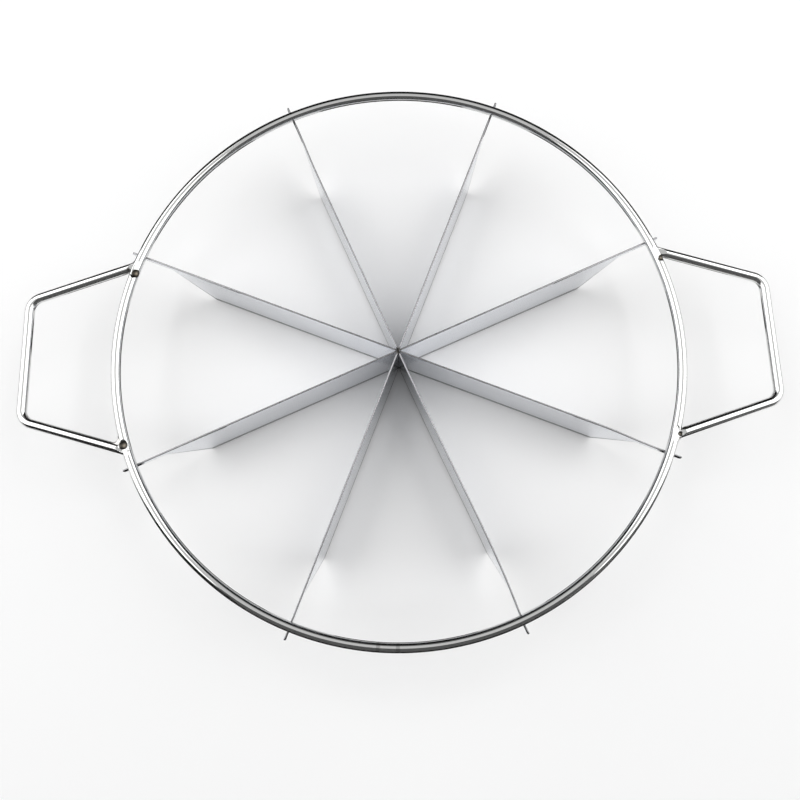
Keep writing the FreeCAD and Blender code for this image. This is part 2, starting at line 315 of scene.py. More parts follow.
BACK_ARM = {"ring_angle": 20.0, "arm_slope": 17.8}
FRONT_ARM = {"ring_angle": 19.4, "arm_slope": 17.0}
JOINTS = (
    Joint("left_back", 180, -1, **BACK_ARM, corner=Corner.WIDE, hollow=5.0,
          pit_diameter=4.0, pit_angle=18.2, pit_shift=-1.2, scorch=0.97),
    Joint("left_front", 180, 1, **FRONT_ARM, corner=Corner.NARROW, hollow=2.0,
          pit_diameter=3.9, pit_angle=18.2, pit_shift=0.5, scorch=0.95),
    Joint("right_back", 0, 1, **BACK_ARM, corner=Corner.WIDE, hollow=3.5,
          pit_diameter=2.9, pit_angle=17.9, pit_shift=1.2, scorch=0.95),
    Joint("right_front", 0, -1, **FRONT_ARM, corner=Corner.WIDE, hollow=5.0,
          pit_diameter=2.0, pit_angle=19.0, pit_shift=1.8, scorch=0.95),
)


def pressed(points: np.ndarray, sink: float = 0.0) -> np.ndarray:
    """Press points at every joint; see Joint.press."""
    for joint in JOINTS:
        points = joint.press(points, sink)
    return points


@dataclass(frozen=True)
class Mark:
    """A small round patch darker on the metal: faint bands beside the ring's weld, and painted shade in the
    joints' corners and round the hub's slots.

    Args:
        place: Its middle in millimetres.
        core: How far it is fully dark from its middle.
        rim: How far it is from its middle to clean metal.
        share: How dark it is, from 0 to 1.
    """

    place: tuple[float, float, float]
    core: float
    rim: float
    share: float


# Painted shade: dark patches in the corners where the arms and webs meet the ring
JOINT_CORNER_SHADE = (
    Mark((129.98, -41.32, 36.9), 0.8, 1.3, 0.95),
    Mark((-128.72, 43.37, 37.2), 0.7, 1.2, 0.9),
    Mark((-128.28, 39.55, 36.6), 0.6, 1.1, 0.9),
    Mark((126.62, 38.96, 37.2), 0.5, 0.9, 0.8),
    Mark((-124.27, -44.27, 37.2), 0.4, 0.9, 0.6),
)


# Degrees from the X axis to each side of the weld that closes the ring
BUTT_WELD_ANGLES = (264.7, 268.4)


def butt_weld_marks() -> tuple[Mark, ...]:
    """Return the two faint bands beside the weld that closes the ring."""
    core, rim = SIZES.wire_radius + 0.03, SIZES.wire_radius + 0.3
    places = [heading(angle) * SIZES.ring_radius + UP * SIZES.ring_level for angle in BUTT_WELD_ANGLES]
    return tuple(Mark(tuple(place), core, rim, 0.3) for place in places)


# Painted shade: the sheared edges darken round the top of the hub, where the slots are deep narrow holes
HUB_SLOT_SHADE = Mark((0.0, 0.0, SIZES.blade_height), 1.0, 2.4, 0.9)


# Shader graphs

@dataclass
class Graph:
    """A node tree that is being filled.

    Args:
        tree: The tree of a material, a world or a node group.
    """

    tree: bpy.types.NodeTree

    def add(self, kind: str, **inputs: object) -> bpy.types.Node:
        """Add a node.

        Args:
            kind: The node's type, without the words ShaderNode.
            inputs: Socket or value for each input, by the input's name with _ for a space; a name that
                starts in lower case is a setting of the node instead.

        Returns:
            The node.
        """
        node = self.tree.nodes.new(f"ShaderNode{kind}")
        for name, value in inputs.items():
            if name[0].islower():
                setattr(node, name, value)
        for name, value in inputs.items():
            if not name[0].islower():
                self.feed(node.inputs[name.replace("_", " ")], value)
        return node

    def feed(self, socket: bpy.types.NodeSocket, value: object) -> None:
        """Link a socket into an input, or set the input's own value."""
        if isinstance(value, bpy.types.NodeSocket):
            self.tree.links.new(value, socket)
        else:
            socket.default_value = value

    def math(self, operation: str, *values: object) -> bpy.types.NodeSocket:
        """Add a calculation and return its result."""
        node = self.tree.nodes.new("ShaderNodeMath")
        node.operation = operation
        for socket, value in zip(node.inputs, values):
            self.feed(socket, value)
        return node.outputs[0]

    def blend(self, share: object, first: object, second: object, mode: str = "MIX") -> bpy.types.NodeSocket:
        """Mix two colours and return the result."""
        node = self.tree.nodes.new("ShaderNodeMix")
        node.data_type = "RGBA"
        node.blend_type = mode
        for number, value in ((0, share), (6, first), (7, second)):
            self.feed(node.inputs[number], value)
        return node.outputs[2]

    def group(self, group: bpy.types.NodeTree, **inputs: object) -> bpy.types.Node:
        """Add a node that uses a shared group, with its inputs as in add."""
        node = self.tree.nodes.new("ShaderNodeGroup")
        node.node_tree = group
        for name, value in inputs.items():
            self.feed(node.inputs[name.replace("_", " ")], value)
        return node


def new_group(name: str, inputs: dict, outputs: dict) -> tuple[Graph, bpy.types.Node, bpy.types.Node]:
    """Start a shared shader group.

    Args:
        name: The group's name.
        inputs: Kind of socket by input, such as {"Radius": "Float"}.
        outputs: Kind of socket by output.

    Returns:
        The graph, its input node and its output node.
    """
    tree = bpy.data.node_groups.new(name, "ShaderNodeTree")
    for side, sockets in (("INPUT", inputs), ("OUTPUT", outputs)):
        for socket, kind in sockets.items():
            tree.interface.new_socket(socket, in_out=side, socket_type=f"NodeSocket{kind}")
    return Graph(tree), tree.nodes.new("NodeGroupInput"), tree.nodes.new("NodeGroupOutput")


def make_grain_group() -> bpy.types.NodeTree:
    """Lines that drawing or rolling left along the metal, as a centred value and as a height."""
    graph, given, result = new_group("drawing_lines", {"Fineness": "Float", "Stretch": "Float"},
                                     {"Value": "Float", "Height": "Float"})
    place = graph.add("TexCoord")
    parts = graph.add("SeparateXYZ", Vector=place.outputs["UV"])
    along = graph.math("DIVIDE", parts.outputs["X"], given.outputs["Stretch"])
    across = graph.add("CombineXYZ", X=along, Y=parts.outputs["Y"])
    fine = graph.add("TexNoise", Vector=across.outputs[0], Scale=given.outputs["Fineness"], Detail=3.0)
    graph.feed(result.inputs["Value"], graph.math("SUBTRACT", fine.outputs["Fac"], 0.5))
    graph.feed(result.inputs["Height"], fine.outputs["Fac"])
    return graph.tree


def make_cloud_group() -> bpy.types.NodeTree:
    """Soft uneven patches from handling and heat, as a centred value."""
    graph, given, result = new_group("soft_patches", {"Scale": "Float"}, {"Value": "Float"})
    place = graph.add("TexCoord")
    noise = graph.add("TexNoise", Vector=place.outputs["Object"], Scale=given.outputs["Scale"], Detail=2.0)
    graph.feed(result.inputs["Value"], graph.math("SUBTRACT", noise.outputs["Fac"], 0.5))
    return graph.tree


def make_spot_group() -> bpy.types.NodeTree:
    """A round spot about a point: 1 inside the core, falling to 0 at the rim."""
    graph, given, result = new_group("round_spot", {"Centre": "Vector", "Core": "Float", "Rim": "Float"},
                                     {"Mask": "Float"})
    place = graph.add("TexCoord")
    away = graph.add("VectorMath", operation="DISTANCE")
    graph.feed(away.inputs[0], place.outputs["Object"])
    graph.feed(away.inputs[1], given.outputs["Centre"])
    fall = graph.add("MapRange", interpolation_type="SMOOTHSTEP", Value=away.outputs["Value"],
                     From_Min=given.outputs["Core"], From_Max=given.outputs["Rim"], To_Min=1.0, To_Max=0.0)
    graph.feed(result.inputs["Mask"], fall.outputs[0])
    return graph.tree


GRAIN = make_grain_group()
CLOUD = make_cloud_group()
SPOT = make_spot_group()


# Finishes

def grey(value: float) -> tuple[float, float, float, float]:
    """Return a neutral colour."""
    return (value, value, value, 1.0)


def new_material(name: str) -> tuple[Graph, bpy.types.Material, bpy.types.Node]:
    """Start a material with a Principled shader.

    Args:
        name: The material's name.

    Returns:
        Its graph, the material and the shader node.
    """
    material = bpy.data.materials.new(name)
    material.use_nodes = True
    graph = Graph(material.node_tree)
    material.node_tree.nodes.clear()
    shader = graph.add("BsdfPrincipled")
    output = graph.add("OutputMaterial")
    material.node_tree.links.new(shader.outputs[0], output.inputs["Surface"])
    return graph, material, shader


@dataclass(frozen=True)
class Steel:
    """Bare stainless steel with lines along it, uneven patches, dark burnt spots and marks of painted shade.

    Args:
        name: The material's name.
        colour: Colour of its reflection.
        edge: Colour of its reflection at a grazing angle.
        roughness: How rough the clean metal is.
        grain: How strongly the lines change the colour and roughness.
        fineness: How many lines to a metre.
        stretch: How much longer than wide the lines are.
        relief: Height of the lines in metres.
        cloud: How strongly patches change the colour.
        cloud_scale: How many patches to a metre.
        bump: How strongly the relief shows.
        burnt_and_shade: Colour of the metal at a burnt spot's rim, and of the marks, most of them painted
            shade.
        tempered: Colour of the metal at its middle.
        burnt_roughness: How much rougher the metal is in a burnt pit.
        mark_roughness: How much rougher it is at another dark mark.
    """

    name: str
    colour: tuple[float, float, float, float]
    edge: tuple[float, float, float, float]
    roughness: float
    grain: float
    fineness: float
    stretch: float
    relief: float
    cloud: float = 0.08
    cloud_scale: float = 60.0
    bump: float = 0.5
    burnt_and_shade: tuple[float, float, float, float] = (0.035, 0.030, 0.022, 1.0)
    tempered: tuple[float, float, float, float] = (0.20, 0.17, 0.13, 1.0)
    burnt_roughness: float = 0.35
    mark_roughness: float = 0.3

    def make(self, spots: tuple[Joint, ...] = (), marks: tuple[Mark, ...] = ()) -> bpy.types.Material:
        """Make the material.

        Args:
            spots: Joints whose pits are burnt dark.
            marks: Other dark patches, most of them painted shade.

        Returns:
            The material.
        """
        graph, material, shader = new_material(self.name)
        lines = graph.group(GRAIN, Fineness=self.fineness, Stretch=self.stretch)
        patches = graph.group(CLOUD, Scale=self.cloud_scale)
        streak = graph.math("MULTIPLY_ADD", lines.outputs["Value"], self.grain, 1.0)
        tone = graph.math("MULTIPLY_ADD", patches.outputs["Value"], self.cloud, streak)
        bright = graph.add("CombineXYZ", X=tone, Y=tone, Z=tone)
        colour = graph.blend(1.0, self.colour, bright.outputs[0], "MULTIPLY")
        rough = graph.math("MULTIPLY_ADD", lines.outputs["Value"], self.grain, self.roughness)
        for joint in spots:
            centre = joint.place(joint.pit_angle, joint.pit_shift) + UP * SIZES.pressed_half
            reach = joint.pit_diameter / 2
            core, rim, bright_rim = reach * 0.95, reach + 0.2, reach * 0.7
            spot = graph.group(SPOT, Centre=tuple(centre * MM), Core=core * MM, Rim=rim * MM)
            middle = graph.group(SPOT, Centre=tuple(joint.pit_middle * MM), Core=0.0, Rim=bright_rim * MM)
            oxide = graph.blend(middle.outputs["Mask"], self.burnt_and_shade, self.tempered)
            share = graph.math("MULTIPLY", spot.outputs["Mask"], joint.scorch)
            colour = graph.blend(share, colour, oxide)
            rough = graph.math("MULTIPLY_ADD", share, self.burnt_roughness, rough)
        # Marks take the burnt colour: painted shade in the joints' corners and round the hub's slots, and
        # faint bands beside the ring's weld
        for mark in marks:
            centre = tuple(axis * MM for axis in mark.place)
            patch = graph.group(SPOT, Centre=centre, Core=mark.core * MM, Rim=mark.rim * MM)
            share = graph.math("MULTIPLY", patch.outputs["Mask"], mark.share)
            colour = graph.blend(share, colour, self.burnt_and_shade)
            rough = graph.math("MULTIPLY_ADD", share, self.mark_roughness, rough)
        bump = graph.add("Bump", Strength=self.bump, Distance=self.relief, Height=lines.outputs["Height"])
        graph.feed(shader.inputs["Base Color"], colour)
        graph.feed(shader.inputs["Roughness"], rough)
        graph.feed(shader.inputs["Normal"], bump.outputs[0])
        graph.feed(shader.inputs["Metallic"], 1.0)
        graph.feed(shader.inputs["Specular Tint"], self.edge)
        return material


POLISHED_WIRE = Steel(
    "polished_wire", (0.72, 0.722, 0.715, 1.0), grey(0.6),
    roughness=0.07, grain=0.10, fineness=900.0, stretch=60.0, relief=2e-5,
)
ROLLED_SHEET = Steel(
    "rolled_sheet", (0.90, 0.915, 0.95, 1.0), grey(0.9),
    roughness=0.16, grain=0.14, fineness=2500.0, stretch=40.0, relief=2e-5,
)
# Sheared edges are rougher metal, and their colour is painted darker still: a painted dark reflection that
# draws the line along the blades' top edges
SHEARED_EDGE_PAINTED_DARK = Steel(
    "sheared_edge", (0.36, 0.36, 0.37, 1.0), grey(0.7),
    roughness=0.26, grain=0.20, fineness=4000.0, stretch=12.0, relief=3e-5,
)
WELD_METAL = Steel(
    "weld_metal", (0.66, 0.65, 0.63, 1.0), grey(0.7),
    roughness=0.30, grain=0.20, fineness=1200.0, stretch=3.0, relief=5e-5,
)


# Sub-assemblies

@dataclass
class WireTube:
    """Round wire along a level path, pressed flat at the joints.

    Args:
        name: The piece's name.
        node: The CAD node that it stands for.
        path: Points of the centre line in millimetres.
        normals: The level direction to one side of the path at each point.
        closed: Whether the wire is a ring.
        tucked: Whether its pressed faces lie just under those of the ring that it is welded to.
        sides: How many points the wire has around it.
        tuck: How far tucked faces lie under the ring's.
        tuck_reach: Distance from the ring's centre line at which the tuck has run out.
        tuck_fade: Length over which it runs out.
    """

    name: str
    node: str
    path: np.ndarray
    normals: np.ndarray
    closed: bool
    tucked: bool = False
    sides: int = 64
    tuck: float = 0.08
    tuck_reach: float = 1.5
    tuck_fade: float = 0.3

    def build(self) -> bpy.types.Object:
        """Make the mesh of the wire."""
        turn = np.linspace(0, 2 * math.pi, self.sides, endpoint=False)
        across = np.cos(turn)[None, :, None] * self.normals[:, None, :]
        upwards = np.sin(turn)[None, :, None] * UP
        loops = self.path[:, None, :] + SIZES.wire_radius * (across + upwards)
        shaped = pressed(loops)
        if self.tucked:
            inside = np.abs(np.hypot(loops[..., 0], loops[..., 1]) - SIZES.ring_radius)
            share = np.clip((self.tuck_reach - inside) / self.tuck_fade, 0, 1)[..., None]
            shaped = shaped * (1 - share) + pressed(loops, self.tuck) * share
        ends = np.concatenate((self.path, self.path[:1])) if self.closed else self.path
        along = np.concatenate(((0.0,), np.cumsum(np.linalg.norm(np.diff(ends, axis=0), axis=1))))
        around = np.linspace(0, 2 * math.pi * SIZES.wire_radius, self.sides + 1)
        return Loft(shaped, along, around, self.closed).make(self.name)

    def dress(self, thing: bpy.types.Object, finish: bpy.types.Material) -> None:
        """Give the wire its finish and tie it to the frame."""
        thing.data.materials.append(finish)
        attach(thing, "root")
        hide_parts(self.node)


def ring_wire() -> WireTube:
    """The ring, with finer loops near the joints and the blades' tongues."""
    fine, coarse, reach = 0.07, 0.45, 3.6
    middles = sorted((joint.handle_turn + joint.direction * joint.ring_angle) % 360 for joint in JOINTS)
    runs = []
    for number, middle in enumerate(middles):
        following = middles[(number + 1) % len(middles)] + (360 if number + 1 == len(middles) else 0)
        runs.append(steps(middle - reach, middle + reach, fine))
        runs.append(steps(middle + reach, following - reach, coarse))
    angles = joined(*runs)[:-1]
    normals = np.array([heading(angle) for angle in angles])
    path = normals * SIZES.ring_radius + UP * SIZES.ring_level
    return WireTube("ring_wire", "wire_ring", path, normals, closed=True)


def handle_wire(name: str) -> WireTube:
    """One handle: two arms, two bends and a grip.

    Args:
        name: left or right.

    Returns:
        The wire of the handle.
    """
    joints = sorted((j for j in JOINTS if j.name.startswith(name)), key=lambda j: j.direction)
    # Loops stand closer in the bends, and in the last stretch before the ring
    coarse, fine, bend_pitch, last_stretch = 1.2, 0.18, 0.04, 8.0
    halves = []
    for joint in joints:
        slope, side = math.radians(joint.arm_slope), joint.direction
        end = SIZES.ring_radius * heading(side * joint.ring_angle)
        corner = abs(end[1]) - (SIZES.grip_distance - end[0]) * math.tan(slope)
        trim = SIZES.bend_radius * math.tan(math.pi / 4 - slope / 2)
        centre = np.array((SIZES.grip_distance - SIZES.bend_radius, side * (corner - trim), 0.0))
        # The bend runs from the grip's outward normal to the arm's
        bend = np.degrees(steps(0, math.pi / 2 - slope, bend_pitch)) * side
        arc = np.array([centre + SIZES.bend_radius * heading(angle) for angle in bend])
        length = np.linalg.norm(arc[-1] - end)
        away = joined(steps(length, last_stretch, coarse), steps(last_stretch, 0.0, fine)) / length
        arm = end + away[:, None] * (arc[-1] - end)
        grip = np.array([(SIZES.grip_distance, y, 0.0) for y in steps(0, arc[0][1], coarse)])
        normals = joined(
            np.tile(heading(0), (len(grip), 1)),
            np.array([heading(angle) for angle in bend]),
            np.tile(heading(bend[-1]), (len(arm), 1)),
        )
        halves.append((joined(grip, arc, arm), normals))
    (first, first_normals), (second, second_normals) = halves
    path = joined(first[::-1], second)
    normals = joined(first_normals[::-1], second_normals)
    turn = joints[0].handle_turn
    path = turned(path, turn) + UP * SIZES.ring_level
    return WireTube(f"{name}_handle_wire", f"{name}_handle", path, turned(normals, turn), False, tucked=True)


@dataclass
class Web:
    """The web of squeezed-out metal in one corner of a joint.

    Args:
        joint: The joint that it belongs to.
        places: How many points it has along its hollow edge.
        depths: How many points it has from the wires' crossing to that edge.
        start: Share of the way to the edge at which it begins, inside the wires.
        tuck: How far its edge's ends lie inside the wires' sides.
        rounding: Width of the round towards its edge.
        sink: How far its faces lie under the wires' pressed faces.
    """

    joint: Joint
    places: int = 28
    depths: int = 22
    start: float = 0.06
    tuck: float = 0.12
    rounding: float = 1.5
    sink: float = 0.03

    def build(self) -> bpy.types.Object:
        """Make the web's mesh: a thin fan from the wires' crossing to a hollow edge."""
        joint, corner = self.joint, self.joint.corner.value
        ring_way = joint.handle_turn + joint.direction * (joint.ring_angle + corner * 90)
        arm_way = joint.handle_turn - joint.direction * joint.arm_slope
        opening = math.radians(90 + corner * (joint.ring_angle + joint.arm_slope))
        bisector = (ring_way + arm_way) / 2
        away = (SIZES.wire_radius + joint.hollow - self.tuck) / math.sin(opening / 2)
        centre = joint.end + heading(bisector) * away
        half = math.degrees(math.pi / 2 - opening / 2)
        edge = np.array([centre + joint.hollow * heading(bisector + 180 + turn)
                         for turn in np.linspace(-half, half, self.places)])
        share = self.start + (1 - self.start) * np.sin(np.linspace(0, math.pi / 2, self.depths))
        points = joint.end + share[None, :, None] * (edge - joint.end)[:, None, :]
        # The faces fall away to the hollow edge in a round
        reach = np.linalg.norm(edge - joint.end, axis=1)[:, None]
        to_edge = (1 - share)[None, :] * reach
        fall = np.sqrt(np.clip(1 - (1 - np.clip(to_edge / self.rounding, 0, 1)) ** 2, 0, 1))
        height = SIZES.pressed_half * fall
        upper, lower = points.copy(), points.copy()
        upper[..., 2] += height
        lower[..., 2] -= height
        loops = np.concatenate((upper, lower[:, -2::-1]), axis=1)
        loops = pressed(loops, self.sink)
        along = np.linspace(0, np.linalg.norm(edge[-1] - edge[0]), self.places)
        around = np.linspace(0, 2 * reach.mean(), loops.shape[1] + 1)
        return Loft(loops, along, around).make(f"{joint.name}_web")

    def dress(self, thing: bpy.types.Object, finish: bpy.types.Material) -> None:
        """Give the web its finish and tie it to the frame."""
        thing.data.materials.append(finish)
        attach(thing, "root")
        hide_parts(f"{self.joint.name}_weld")


# Degrees from a strip's edge to its face at which its rounded edges have points
EDGE_ARC = (90, 68, 45, 22, 0)


@dataclass
class BladeStrip:
    """One strip of sheet right across the ring, slotted for the others at the hub.

    Args:
        order: 0 for the strip with the topmost web.
        overhangs: How far its right-hand and its left-hand tongue stand out past the ring.
        bows: Sideways bow of its right-hand and its left-hand half.
        sets: Sideways set of its right-hand and its left-hand tongue.
        rows: How many points each face has from top to bottom.
        edge_rounding: Rounding of its long sheared edges.
        end_rounding: Rounding of its tongues' ends.
        sharp_angle: Angle from which an edge is shaded sharp.
        bow_power: How far out a bow is fullest: more than 1 brings it nearer the ring.
        set_start: Distance from the hub at which a set begins.
        set_run: Length over which it grows to its full width.
    """

    order: int
    overhangs: tuple[float, float]
    bows: tuple[float, float] = (0.0, 0.0)
    sets: tuple[float, float] = (0.0, 0.0)
    rows: int = 12
    edge_rounding: float = 0.30
    end_rounding: float = 0.12
    sharp_angle: float = math.radians(50)
    bow_power: float = 2.4
    set_start: float = 100.0
    set_run: float = 28.0

    @property
    def turn(self) -> float:
        """Degrees from the X axis to the strip."""
        return 180 / SIZES.strip_count * (SIZES.strip_count / 2 - 0.5 - self.order)

    def tip(self, side: int) -> float:
        """Return the distance from the hub to the end of the right-hand (0) or left-hand (1) tongue."""
        return SIZES.ring_outer_diameter / 2 + self.overhangs[side]

    def heights(self, along: float, in_slot: bool) -> tuple[float, float]:
        """Return the strip's bottom and top at one place along it.

        Args:
            along: Distance from the hub, negative on the left-hand half.
            in_slot: Whether the loop lies between the walls of the hub's slots.

        Returns:
            Bottom and top height.
        """
        count, full = SIZES.strip_count, SIZES.blade_height
        reach, tip = abs(along), self.tip(0 if along > 0 else 1)
        if in_slot:
            return full * (count - self.order - 1) / count, full * (count - self.order) / count
        level = full - SIZES.tongue_height
        foot = SIZES.slant_top - SIZES.slant_run
        bottom = level * min(max((reach - foot) / SIZES.slant_run, 0.0), 1.0)
        radius = SIZES.tongue_corner_radius
        past = min(max(reach - (tip - radius), 0.0), radius)
        cut = radius - math.sqrt(radius**2 - past**2)
        return bottom + cut, full - cut

    def sway(self, along: float) -> float:
        """Return how far the strip stands sideways from a straight one at one place along it."""
        side, reach = (0 if along > 0 else 1), abs(along)
        outwards = min(reach / SIZES.ring_radius, 1.0)
        bow = self.bows[side] * math.sin(math.pi * outwards**self.bow_power)
        share = min(max((reach - self.set_start) / self.set_run, 0.0), 1.0)
        return bow + self.sets[side] * share**2 * (3 - 2 * share)

    def loop(self, along: float, in_slot: bool, narrowing: float) -> np.ndarray:
        """Return the points around the strip at one place along it.

        Args:
            along: Distance from the hub, signed.
            in_slot: Whether the loop lies between the walls of the hub's slots.
            narrowing: How far each face is drawn in at the strip's end.

        Returns:
            The points.
        """
        bottom, top = self.heights(along, in_slot)
        half = SIZES.blade_thickness / 2 - narrowing
        rounding = min(self.edge_rounding, half * 0.8)
        arc = [math.radians(angle) for angle in EDGE_ARC]
        drops = [(rounding * (1 - math.cos(angle)), rounding * (1 - math.sin(angle))) for angle in arc]
        over = [(half - inwards, top - drop) for inwards, drop in drops]
        under = [(half - inwards, bottom + drop) for inwards, drop in reversed(drops)]
        sides = [(half, height) for height in np.linspace(top - rounding, bottom + rounding, self.rows)[1:-1]]
        right = over + sides + under
        outline = right + [(-side, height) for side, height in reversed(right)]
        sway = self.sway(along)
        return np.array([(along, side + sway, height) for side, height in outline])

    def half(self, side: int) -> list[np.ndarray]:
        """Return the loops of one half, from the hub's slots to the tongue's end."""
        blade_pitch, slant_pitch, tongue_pitch, corner_pitch = 1.4, 0.6, 1.0, 0.08
        tip, rounding = self.tip(side), self.end_rounding
        corner = tip - SIZES.tongue_corner_radius
        foot = SIZES.slant_top - SIZES.slant_run
        run = joined(
            steps(SIZES.slot_half, foot, blade_pitch),
            steps(foot, SIZES.slant_top, slant_pitch),
            steps(SIZES.slant_top, corner, tongue_pitch),
            steps(corner, tip - rounding, corner_pitch),
            np.array((tip - rounding, tip - rounding * 0.3, tip)),
        )
        past = np.clip((run - (tip - rounding)) / rounding, 0, 1)
        draws = rounding * (1 - np.sqrt(1 - past**2))
        way = 1 if side == 0 else -1
        return [self.loop(way * distance, False, draw) for distance, draw in zip(run, draws)]

    def build(self) -> bpy.types.Object:
        """Make the strip's mesh."""
        right, left = self.half(0), self.half(1)
        web_pitch = 0.5
        web = [self.loop(along, True, 0.0) for along in steps(-SIZES.slot_half, SIZES.slot_half, web_pitch)]
        loops = np.array(left[::-1] + web + right)
        along = loops[:, 0, 0] + self.tip(1)
        around = np.append(0.0, np.cumsum(np.linalg.norm(np.diff(right[0], axis=0), axis=1)))
        around = np.append(around, around[-1] + SIZES.blade_thickness)
        size = loops.shape[1]
        places = np.arange(size)
        # Counted from the top of one face round to the top of the other
        edge, last = len(EDGE_ARC) - 1, size - 1
        in_edge = (places < edge) | (places >= last - edge) | (np.abs(places - size // 2 + 0.5) < edge + 1)
        loft = Loft(turned(loops, self.turn), along, around, bands=in_edge.astype(int))
        strip = loft.make(f"blade_{self.order + 1}")
        strip.data.set_sharp_from_angle(angle=self.sharp_angle)
        return strip

    def dress(self, thing: bpy.types.Object, finish: bpy.types.Material,
              edge_finish: bpy.types.Material) -> None:
        """Give the strip its finishes and tie it to the frame."""
        thing.data.materials.append(finish)
        thing.data.materials.append(edge_finish)
        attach(thing, "root")
        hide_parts(f"blade_strip_{self.order + 1}")


# Studio

@dataclass(frozen=True)
class Camera:
    """The photo's viewpoint, fitted to the ring, the handles and the hub.

    Args:
        place: Where it stands, in millimetres.
        turns: Its turns about X, Y and Z in radians.
        focal_pixels: Focal length in pixels of the square picture.
        picture: Side of the square picture in pixels.
        centre_row: Pixel row of the lens axis.
    """

    place: tuple[float, float, float] = (1.512, -82.860, 362.592)
    turns: tuple[float, float, float] = (0.2094, 0.0090, -0.0282)
    focal_pixels: float = 716.366
    picture: int = 800
    centre_row: float = 377.216

    def build(self) -> None:
        """Add the camera and make it the scene's."""
        data = bpy.data.cameras.new("photo_camera")
        data.sensor_width = 36.0
        data.lens = self.focal_pixels * data.sensor_width / self.picture
        data.shift_y = (self.centre_row - self.picture / 2) / self.picture
        data.clip_start = 0.01
        camera = bpy.data.objects.new("photo_camera", data)
        camera.location = [axis * MM for axis in self.place]
        camera.rotation_euler = self.turns
        bpy.context.scene.collection.objects.link(camera)
        bpy.context.scene.camera = camera


@dataclass(frozen=True)
class SoftLight:
    """A square studio lamp that faces the object.

    Args:
        name: The lamp's name.
        place: Where it hangs, in metres.
        side: Length of its side in metres.
        radiance: How bright its face is.
    """

    name: str
    place: tuple[float, float, float]
    side: float
    radiance: float

    def build(self) -> None:
        """Add the lamp."""
        data = bpy.data.lights.new(self.name, "AREA")
        data.shape = "SQUARE"
        data.size = self.side
        data.energy = self.radiance * math.pi * self.side**2
        lamp = bpy.data.objects.new(self.name, data)
        bpy.context.scene.collection.objects.link(lamp)
        lamp.location = self.place
        towards = -np.array(self.place)
        spin = math.atan2(towards[1], towards[0]) - math.pi / 2
        tilt = math.atan2(np.hypot(*towards[:2]), -towards[2])
        lamp.rotation_euler = (tilt, 0.0, spin)


def matt_card(name: str, tone: float) -> bpy.types.Material:
    """Make the matt surface of a studio card or floor.

    Args:
        name: The material's name.
        tone: How light it is.

    Returns:
        The material.
    """
    patch_scale, patch_share = 4.0, 0.01
    graph, material, shader = new_material(name)
    patches = graph.group(CLOUD, Scale=patch_scale)
    level = graph.math("MULTIPLY_ADD", patches.outputs["Value"], tone * patch_share, tone)
    colour = graph.add("CombineXYZ", X=level, Y=level, Z=level)
    graph.feed(shader.inputs["Base Color"], colour.outputs[0])
    graph.feed(shader.inputs["Roughness"], 1.0)
    graph.feed(shader.inputs["Specular IOR Level"], 0.0)
    return material


# Metres from the floor to the cards that lie or stand on it
CARD_LIFT = 0.002


@dataclass(frozen=True)
class DarkCard:
    """A dark card in the studio that only shows in reflections.

    Args:
        name: The card's name.
        first: Points along one edge in metres.
        second: As many points along the opposite edge.
    """

    name: str
    first: tuple[tuple[float, float, float], ...]
    second: tuple[tuple[float, float, float], ...]

    @classmethod
    def fan(cls, name: str, start: float, end: float, near: float, far: float) -> "DarkCard":
        """Lay a card on the floor between two angles and two distances from the middle.

        Args:
            name: The card's name.
            start: First angle from the X axis in degrees.
            end: Last angle.
            near: Distance of its near edge in metres.
            far: Distance of its far edge.

        Returns:
            The card.
        """
        ways = [heading(angle) for angle in steps(start, end, 3.0)]
        edges = [tuple(tuple(way * reach + UP * CARD_LIFT) for way in ways) for reach in (near, far)]
        return cls(name, *edges)

    def build(self, finish: bpy.types.Material) -> None:
        """Add the card."""
        count = len(self.first)
        mesh = bpy.data.meshes.new(self.name)
        mesh.from_pydata([*self.first, *self.second], [],
                         [(n, n + 1, count + n + 1, count + n) for n in range(count - 1)])
        card = bpy.data.objects.new(self.name, mesh)
        mesh.materials.append(finish)
        bpy.context.scene.collection.objects.link(card)
        card.visible_camera = False
        card.visible_diffuse = False
        card.visible_shadow = False


LAMPS = (
    SoftLight("overhead_light", (0.0, 0.1, 1.25), side=1.5, radiance=0.52),
    SoftLight("left_light", (-0.95, 0.2, 0.75), side=1.5, radiance=1.87),
    SoftLight("right_light", (0.95, 0.2, 0.75), side=1.5, radiance=1.87),
)
STANDING_CARDS = (
    DarkCard(
        "back_card",
        ((-0.9, 0.6, CARD_LIFT), (0.9, 0.6, CARD_LIFT)),
        ((-0.9, 0.6, 0.45), (0.9, 0.6, 0.45)),
    ),
    DarkCard(
        "front_left_card",
        ((-0.95, -0.35, CARD_LIFT), (-0.45, -0.65, CARD_LIFT)),
        ((-0.95, -0.35, 0.45), (-0.45, -0.65, 0.45)),
    ),
)
LEANING_CARD = DarkCard(
    "front_card",
    ((-0.45, -0.6, CARD_LIFT), (0.45, -0.6, CARD_LIFT)),
    ((-0.45, -0.3, 0.95), (0.45, -0.3, 0.95)),
)
OUTER_MATS = (
    DarkCard.fan("back_mat", 21.0, 159.0, 0.138, 0.62),
    DarkCard.fan("front_mat", 201.0, 339.0, 0.138, 0.62),
)


def inner_mats() -> tuple[DarkCard, ...]:
    """Return the mats between the blades, which stay clear of the blades' own reflections."""
    gap, near, far = 7.5, 0.094, 0.131
    pitch = 180 / SIZES.strip_count
    half = pitch / 2 - gap
    return tuple(
        DarkCard.fan(f"inner_mat_{number + 1}", number * pitch - half, number * pitch + half, near, far)
        for number in range(2 * SIZES.strip_count)
    )


def handle_mats() -> tuple[DarkCard, ...]:
    """Return the mats beside the handles' back arms, inside the handles."""
    near, far = 0.133, 0.166
    return tuple(
        DarkCard(
            f"handle_mat_{side}",
            ((side * near, 0.037, CARD_LIFT), (side * far, 0.027, CARD_LIFT)),
            ((side * near, 0.019, CARD_LIFT), (side * far, 0.009, CARD_LIFT)),
        )
        for side in (-1, 1)
    )


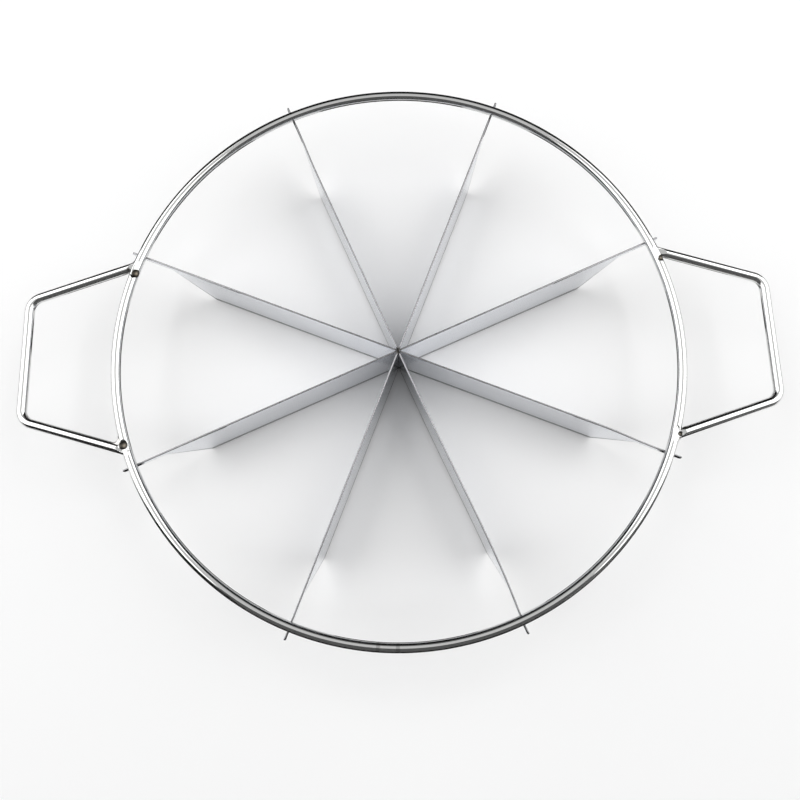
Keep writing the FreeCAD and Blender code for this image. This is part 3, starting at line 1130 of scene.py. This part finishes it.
@dataclass(frozen=True)
class Studio:
    """A pale floor under soft light.

    Args:
        floor_side: Length of the floor's side in metres.
        floor_tone: How light the floor is.
        black_tone: How light the black cards and mats are.
        grey_tone: How light the leaning card is.
        ambient: How bright the world around is.
    """

    floor_side: float = 6.0
    floor_tone: float = 0.95
    black_tone: float = 0.01
    grey_tone: float = 0.11
    ambient: float = 0.15

    def build_floor(self) -> None:
        """Lay the floor on which the blades stand."""
        half = self.floor_side / 2
        corners = [(-half, -half, 0), (half, -half, 0), (half, half, 0), (-half, half, 0)]
        mesh = bpy.data.meshes.new("floor")
        mesh.from_pydata(corners, [], [(0, 1, 2, 3)])
        floor = bpy.data.objects.new("floor", mesh)
        bpy.context.scene.collection.objects.link(floor)
        mesh.materials.append(matt_card("pale_floor", self.floor_tone))

    def build_light(self) -> None:
        """Hang the lamps, set the ambient light and set out the dark cards."""
        for lamp in LAMPS:
            lamp.build()
        world = bpy.data.worlds.new("studio")
        world.use_nodes = True
        sky = world.node_tree.nodes["Background"]
        sky.inputs["Color"].default_value = grey(1.0)
        sky.inputs["Strength"].default_value = self.ambient
        bpy.context.scene.world = world
        self.build_cards()

    def build_cards(self) -> None:
        """Stand and lay the dark cards that draw the dark lines along the wires."""
        black = matt_card("black_card", self.black_tone)
        for card in (*STANDING_CARDS, *OUTER_MATS, *inner_mats(), *handle_mats()):
            card.build(black)
        LEANING_CARD.build(matt_card("grey_card", self.grey_tone))

    def build(self) -> None:
        """Set up the whole studio and how its picture is shown."""
        self.build_floor()
        self.build_light()
        Camera().build()
        bpy.context.scene.view_settings.view_transform = "Standard"


def main() -> None:
    """Build every piece in order, then the studio."""
    # Painted shade: the wire and the welds darken in the joints' corners, and the sheared edges darken round
    # the hub's slots
    wire = (POLISHED_WIRE.make(JOINTS, JOINT_CORNER_SHADE + butt_weld_marks()),)
    weld = (WELD_METAL.make(JOINTS, JOINT_CORNER_SHADE),)
    sheet = (ROLLED_SHEET.make(), SHEARED_EDGE_PAINTED_DARK.make(marks=(HUB_SLOT_SHADE,)))
    for part, finishes in (
        (ring_wire(), wire),
        (handle_wire("left"), wire),
        (handle_wire("right"), wire),
        *((Web(joint), weld) for joint in JOINTS),
        (BladeStrip(0, overhangs=(4.5, 4.2)), sheet),
        (BladeStrip(1, overhangs=(3.5, 3.4)), sheet),
        (BladeStrip(2, overhangs=(4.3, 4.0), sets=(-1.0, 0.0)), sheet),
        (BladeStrip(3, overhangs=(4.6, 4.9), bows=(1.3, 0.0), sets=(0.0, 0.7)), sheet),
    ):
        thing = part.build()
        part.dress(thing, *finishes)
        log.info("%s: %d faces", thing.name, len(thing.data.polygons))
    Studio().build()


if __name__ == "__main__":
    logging.basicConfig(level=logging.INFO, format="%(message)s")
    main()
